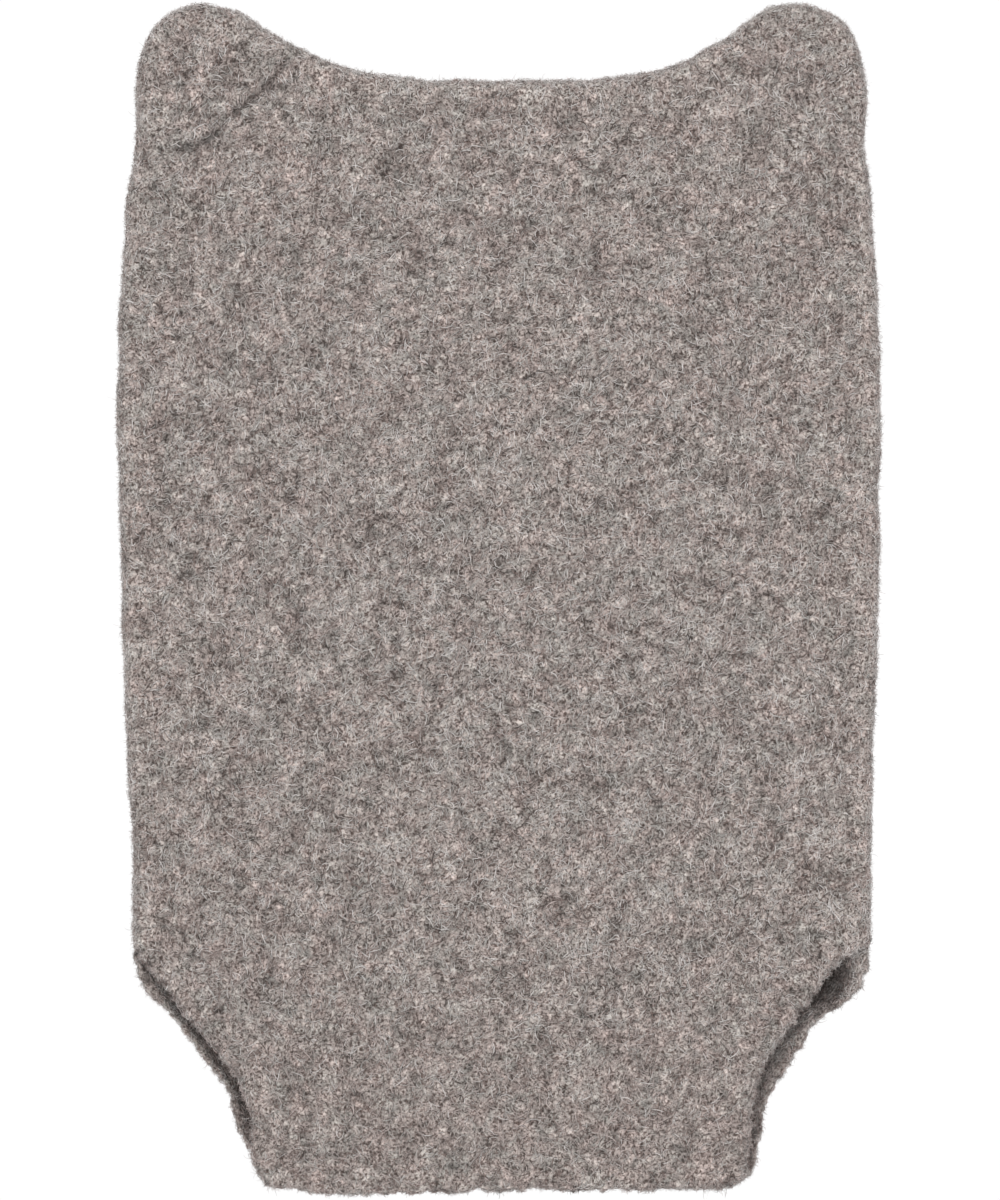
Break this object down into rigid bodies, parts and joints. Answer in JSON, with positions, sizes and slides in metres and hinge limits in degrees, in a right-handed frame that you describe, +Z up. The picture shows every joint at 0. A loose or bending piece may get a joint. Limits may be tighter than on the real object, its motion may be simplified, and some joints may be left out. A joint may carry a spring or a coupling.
{
  "type": "sock puppet",
  "caption": "Felted wool hand puppet: a flat two-panel mitten with rounded ears, a hand opening at the hem and a slot on each side of it.",
  "frame": {"origin": "middle of the hand opening, at the hem", "axes": "+Z up from the hem to the ears, -Y out of the front panel, +X to the viewer's right"},
  "size_m": [0.1606, 0.0306, 0.2502],
  "materials": {
    "wool_felt": "brushed heather wool felt",
    "sewing_thread": "matte spun thread"
  },
  "bodies": {
    "torso": {"torso_front": "wool_felt", "torso_back": "wool_felt", "left_torso_side_seam": "sewing_thread", "right_torso_side_seam": "sewing_thread", "left_slot_tack": "sewing_thread", "right_slot_tack": "sewing_thread", "front_flap_fold": "wool_felt", "back_flap_fold": "wool_felt", "front_waist_fold": "wool_felt", "back_waist_fold": "wool_felt", "left_waist_side_seam": "sewing_thread", "right_waist_side_seam": "sewing_thread"},
    "head": {"head_front": "wool_felt", "head_back": "wool_felt", "left_head_side_seam": "sewing_thread", "right_head_side_seam": "sewing_thread", "crown_seam": "sewing_thread", "left_ear_fold_front": "wool_felt", "left_ear_fold_back": "wool_felt", "right_ear_fold_front": "wool_felt", "right_ear_fold_back": "wool_felt"},
    "left_ear": {"left_ear_front": "wool_felt", "left_ear_back": "wool_felt", "left_ear_seam": "sewing_thread"},
    "right_ear": {"right_ear_front": "wool_felt", "right_ear_back": "wool_felt", "right_ear_seam": "sewing_thread"},
    "front_flap": {"front_flap": "wool_felt"},
    "back_flap": {"back_flap": "wool_felt"}
  },
  "joints": [
    {"name": "head_nod", "type": "hinge", "parent": "torso", "child": "head", "pos_m": [0, 0, 0.142], "axis": [1, 0, 0], "range_deg": [-20, 40], "stiffness_Nm_per_rad": 0.06, "deforming": ["front_waist_fold", "back_waist_fold", "left_waist_side_seam", "right_waist_side_seam"]},
    {"name": "left_ear_fold", "type": "hinge", "parent": "head", "child": "left_ear", "pos_m": [-0.05745, 0, 0.22911], "axis": [0.8965, 0, 0.443], "range_deg": [-50, 50], "stiffness_Nm_per_rad": 0.004, "deforming": ["left_ear_fold_front", "left_ear_fold_back"]},
    {"name": "right_ear_fold", "type": "hinge", "parent": "head", "child": "right_ear", "pos_m": [0.05745, 0, 0.22911], "axis": [0.8965, 0, -0.443], "range_deg": [-50, 50], "stiffness_Nm_per_rad": 0.004, "deforming": ["right_ear_fold_front", "right_ear_fold_back"]},
    {"name": "front_flap_swing", "type": "hinge", "parent": "torso", "child": "front_flap", "pos_m": [0, -0.008, 0.044], "axis": [-1, 0, 0], "range_deg": [-5, 30], "stiffness_Nm_per_rad": 0.01, "deforming": ["front_flap_fold"]},
    {"name": "back_flap_swing", "type": "hinge", "parent": "torso", "child": "back_flap", "pos_m": [0, 0.008, 0.044], "axis": [1, 0, 0], "range_deg": [-5, 30], "stiffness_Nm_per_rad": 0.01, "deforming": ["back_flap_fold"]}
  ]
}
